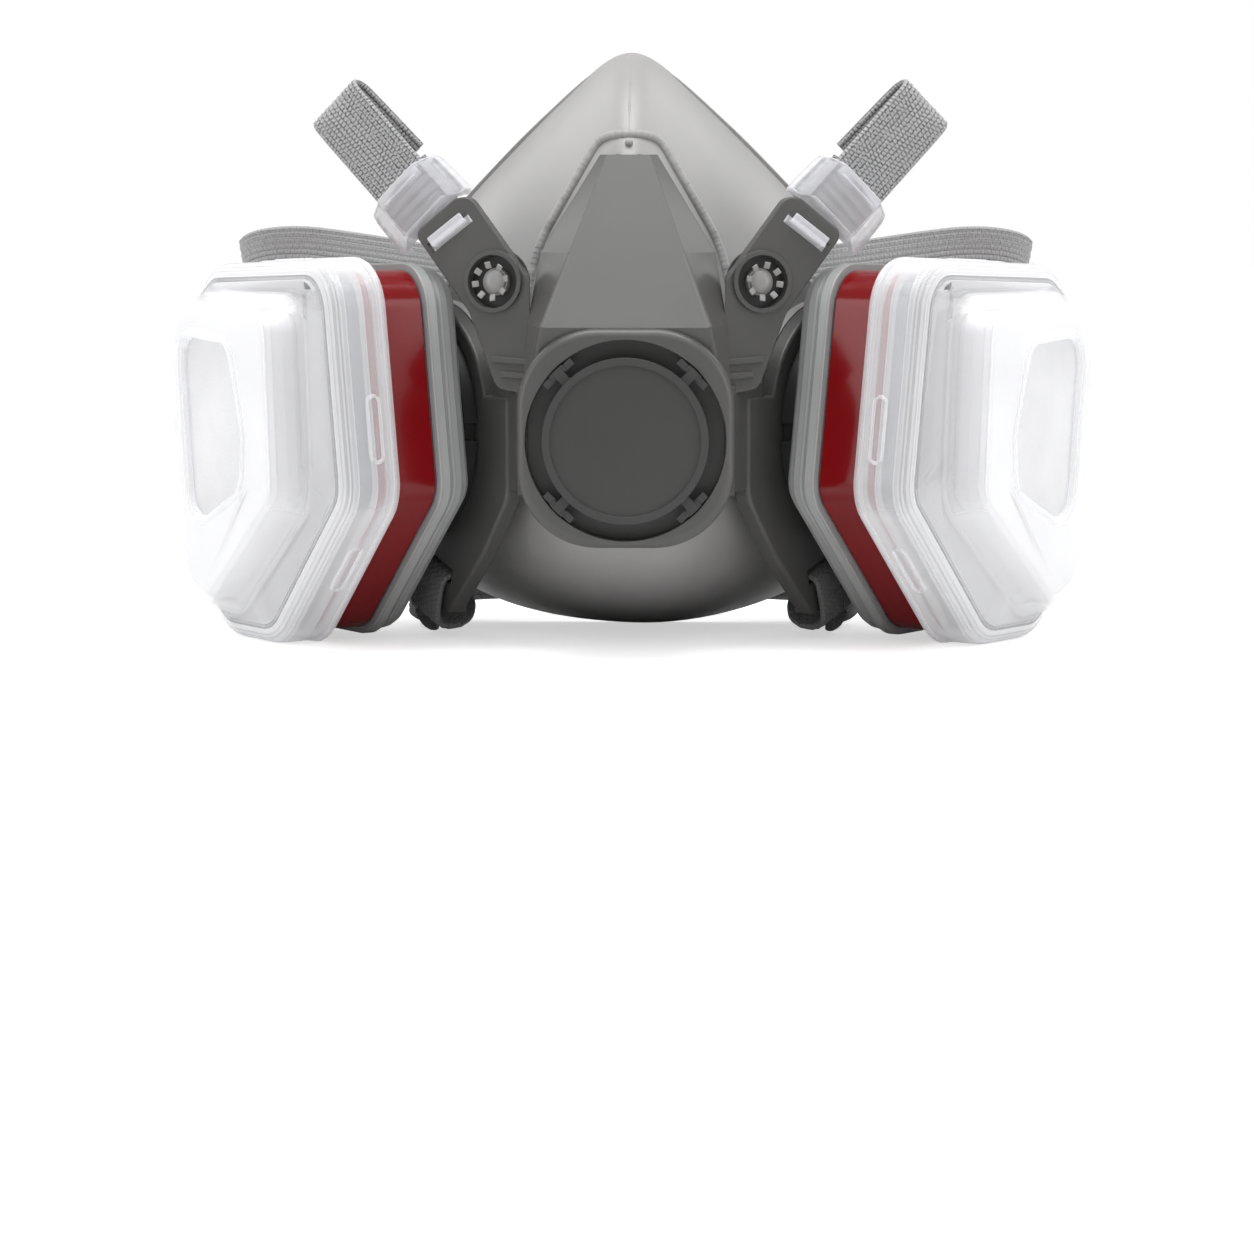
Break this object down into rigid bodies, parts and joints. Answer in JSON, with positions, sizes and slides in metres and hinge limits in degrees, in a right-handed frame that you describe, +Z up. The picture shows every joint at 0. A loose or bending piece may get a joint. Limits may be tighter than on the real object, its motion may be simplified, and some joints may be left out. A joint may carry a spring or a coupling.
{
  "type": "half-face respirator with cartridges",
  "caption": "Half-face respirator: rubber facepiece in a plastic harness yoke, exhalation valve, twist-on gas cartridges with clip-on prefilter retainers, and elastic straps.",
  "frame": {"origin": "middle of the mask's width and depth, on the surface it stands on", "axes": "+X to the wearer's left, +Y towards the wearer's face, +Z up"},
  "size_m": [0.2108, 0.1072, 0.1294],
  "materials": {
    "face_rubber": "satin",
    "yoke_plastic": "satin",
    "cover_plastic": "matt",
    "port_plastic": "satin",
    "silicone": "satin",
    "gasket_rubber": "matt",
    "cartridge_plastic": "satin",
    "cartridge_can": "satin",
    "label": "gloss",
    "carbon": "matt",
    "filter_felt": "matt",
    "clear_plastic": "translucent gloss",
    "buckle_plastic": "translucent",
    "webbing": "woven"
  },
  "bodies": {
    "mask": {"facepiece": "face_rubber", "harness_yoke": "yoke_plastic", "exhalation_valve_seat": "port_plastic", "exhalation_cover": "cover_plastic", "rear_strap": "webbing", "clasp_eye": "port_plastic", "inhalation_port_right": "port_plastic", "port_lock_ring_right": "port_plastic", "port_gasket_right": "gasket_rubber", "inhalation_valve_seat_right": "port_plastic", "arm_stud_right": "buckle_plastic", "neck_strap_right": "webbing", "inhalation_port_left": "port_plastic", "port_lock_ring_left": "port_plastic", "port_gasket_left": "gasket_rubber", "inhalation_valve_seat_left": "port_plastic", "arm_stud_left": "buckle_plastic", "neck_strap_left": "webbing"},
    "exhalation_flap": {"exhalation_flap": "silicone"},
    "clasp_hook": {"clasp_hook": "port_plastic"},
    "inhalation_flap_right": {"inhalation_flap_right": "silicone"},
    "cartridge_right": {"cartridge_base_right": "cartridge_plastic", "cartridge_shell_right": "cartridge_can", "label_band_right": "label", "cartridge_lid_right": "cartridge_can", "carbon_bed_right": "carbon"},
    "retainer_right": {"filter_retainer_right": "clear_plastic", "prefilter_pad_right": "filter_felt"},
    "buckle_right": {"strap_buckle_right": "buckle_plastic", "upper_strap_right": "webbing"},
    "inhalation_flap_left": {"inhalation_flap_left": "silicone"},
    "cartridge_left": {"cartridge_base_left": "cartridge_plastic", "cartridge_shell_left": "cartridge_can", "label_band_left": "label", "cartridge_lid_left": "cartridge_can", "carbon_bed_left": "carbon"},
    "retainer_left": {"filter_retainer_left": "clear_plastic", "prefilter_pad_left": "filter_felt"},
    "buckle_left": {"strap_buckle_left": "buckle_plastic", "upper_strap_left": "webbing"}
  },
  "joints": [
    {"name": "cartridge_right_twist", "type": "hinge", "parent": "mask", "child": "cartridge_right", "pos_m": [-0.0504, -0.00136, 0.0469], "axis": [-0.848, -0.5299, 0], "range_deg": [0, 60]},
    {"name": "retainer_right_pull", "type": "slide", "parent": "cartridge_right", "child": "retainer_right", "axis": [-0.848, -0.5299, 0], "range_m": [0, 0.03]},
    {"name": "inhalation_flap_right_lift", "type": "slide", "parent": "mask", "child": "inhalation_flap_right", "axis": [0.848, 0.5299, 0], "range_m": [0, 0.0015], "stiffness_N_per_m": 20},
    {"name": "buckle_right_swing", "type": "hinge", "parent": "mask", "child": "buckle_right", "pos_m": [-0.03974, -0.02516, 0.09269], "axis": [0.7576, -0.2611, 0.5982], "range_deg": [-15, 15]},
    {"name": "cartridge_left_twist", "type": "hinge", "parent": "mask", "child": "cartridge_left", "pos_m": [0.0504, -0.00136, 0.0469], "axis": [-0.848, 0.5299, 0], "range_deg": [0, 60]},
    {"name": "retainer_left_pull", "type": "slide", "parent": "cartridge_left", "child": "retainer_left", "axis": [0.848, -0.5299, 0], "range_m": [0, 0.03]},
    {"name": "inhalation_flap_left_lift", "type": "slide", "parent": "mask", "child": "inhalation_flap_left", "axis": [-0.848, 0.5299, 0], "range_m": [0, 0.0015], "stiffness_N_per_m": 20},
    {"name": "buckle_left_swing", "type": "hinge", "parent": "mask", "child": "buckle_left", "pos_m": [0.03974, -0.02516, 0.09269], "axis": [0.7576, 0.2611, -0.5982], "range_deg": [-15, 15]},
    {"name": "exhalation_flap_lift", "type": "slide", "parent": "mask", "child": "exhalation_flap", "axis": [0, -1, 0], "range_m": [0, 0.0015], "stiffness_N_per_m": 20},
    {"name": "clasp_hook_release", "type": "hinge", "parent": "mask", "child": "clasp_hook", "pos_m": [0.012, 0.04884, 0.011], "axis": [0, 0, -1], "range_deg": [0, 25]}
  ]
}
